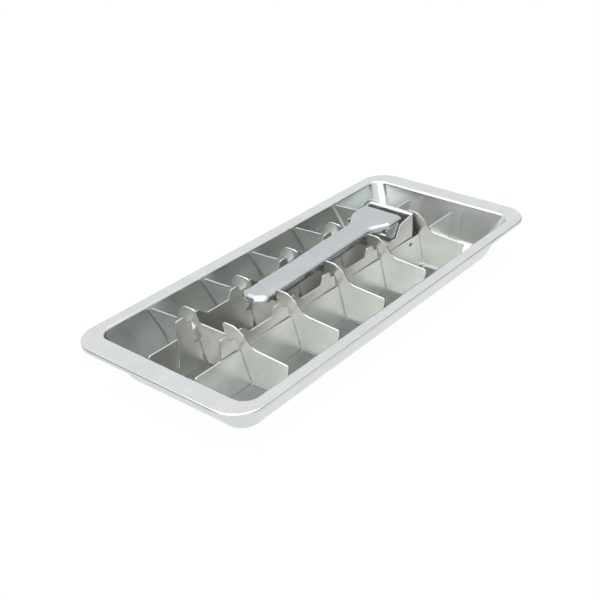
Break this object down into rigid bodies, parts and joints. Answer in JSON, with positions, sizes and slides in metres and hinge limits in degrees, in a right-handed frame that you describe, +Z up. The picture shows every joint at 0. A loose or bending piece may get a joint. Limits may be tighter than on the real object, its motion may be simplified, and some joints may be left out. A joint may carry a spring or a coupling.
{
  "type": "lever ice cube tray",
  "caption": "Pressed metal ice cube tray with a lift-out grid of tilting cross dividers and a lever that slides the grid to free the ice.",
  "frame": {"origin": "middle of the pan's underside, where the tray stands", "axes": "+X along the tray towards the lever's pivot end, +Y across it, +Z up out of the pan"},
  "size_m": [0.282, 0.1194, 0.0431],
  "materials": {
    "pan_steel": "satin pressed stainless steel",
    "grid_steel": "satin stainless sheet with bright cut edges",
    "lever_steel": "smooth satin pressed stainless steel"
  },
  "bodies": {
    "tray": {"pan": "pan_steel"},
    "grid": {"near_outer_rail": "grid_steel", "far_outer_rail": "grid_steel", "pivot_tube": "grid_steel"},
    "slider": {"slider_frame": "grid_steel"},
    "divider_1": {"cross_divider_1": "grid_steel"},
    "divider_2": {"cross_divider_2": "grid_steel"},
    "divider_3": {"cross_divider_3": "grid_steel"},
    "divider_4": {"cross_divider_4": "grid_steel"},
    "divider_5": {"cross_divider_5": "grid_steel"},
    "handle": {"lever": "lever_steel"}
  },
  "joints": [
    {"name": "grid_lift", "type": "slide", "parent": "tray", "child": "grid", "axis": [0, 0, 1], "range_m": [0, 0.06]},
    {"name": "lever_hinge", "type": "hinge", "parent": "grid", "child": "handle", "pos_m": [0.0688, 0.0015, 0.0215], "axis": [0, 1, 0], "range_deg": [0, 40]},
    {"name": "slider_slide", "type": "slide", "parent": "grid", "child": "slider", "axis": [1, 0, 0], "range_m": [0, 0.00309]},
    {"name": "divider_1_tilt", "type": "hinge", "parent": "grid", "child": "divider_1", "pos_m": [-0.0877, 0.0015, 0.0185], "axis": [0, 1, 0], "range_deg": [0, 12]},
    {"name": "divider_2_tilt", "type": "hinge", "parent": "grid", "child": "divider_2", "pos_m": [-0.0457, 0.0015, 0.0185], "axis": [0, 1, 0], "range_deg": [0, 12]},
    {"name": "divider_3_tilt", "type": "hinge", "parent": "grid", "child": "divider_3", "pos_m": [-0.0037, 0.0015, 0.0185], "axis": [0, 1, 0], "range_deg": [0, 12]},
    {"name": "divider_4_tilt", "type": "hinge", "parent": "grid", "child": "divider_4", "pos_m": [0.0383, 0.0015, 0.0185], "axis": [0, 1, 0], "range_deg": [0, 12]},
    {"name": "divider_5_tilt", "type": "hinge", "parent": "grid", "child": "divider_5", "pos_m": [0.0803, 0.0015, 0.0185], "axis": [0, 1, 0], "range_deg": [0, 12]}
  ],
  "couplings": [
    {"joint": "slider_slide", "follows": "lever_hinge", "m_per_rad": 0.0044253},
    {"joint": "divider_1_tilt", "follows": "lever_hinge", "ratio": 0.3},
    {"joint": "divider_2_tilt", "follows": "lever_hinge", "ratio": 0.3},
    {"joint": "divider_3_tilt", "follows": "lever_hinge", "ratio": 0.3},
    {"joint": "divider_4_tilt", "follows": "lever_hinge", "ratio": 0.3},
    {"joint": "divider_5_tilt", "follows": "lever_hinge", "ratio": 0.3}
  ]
}
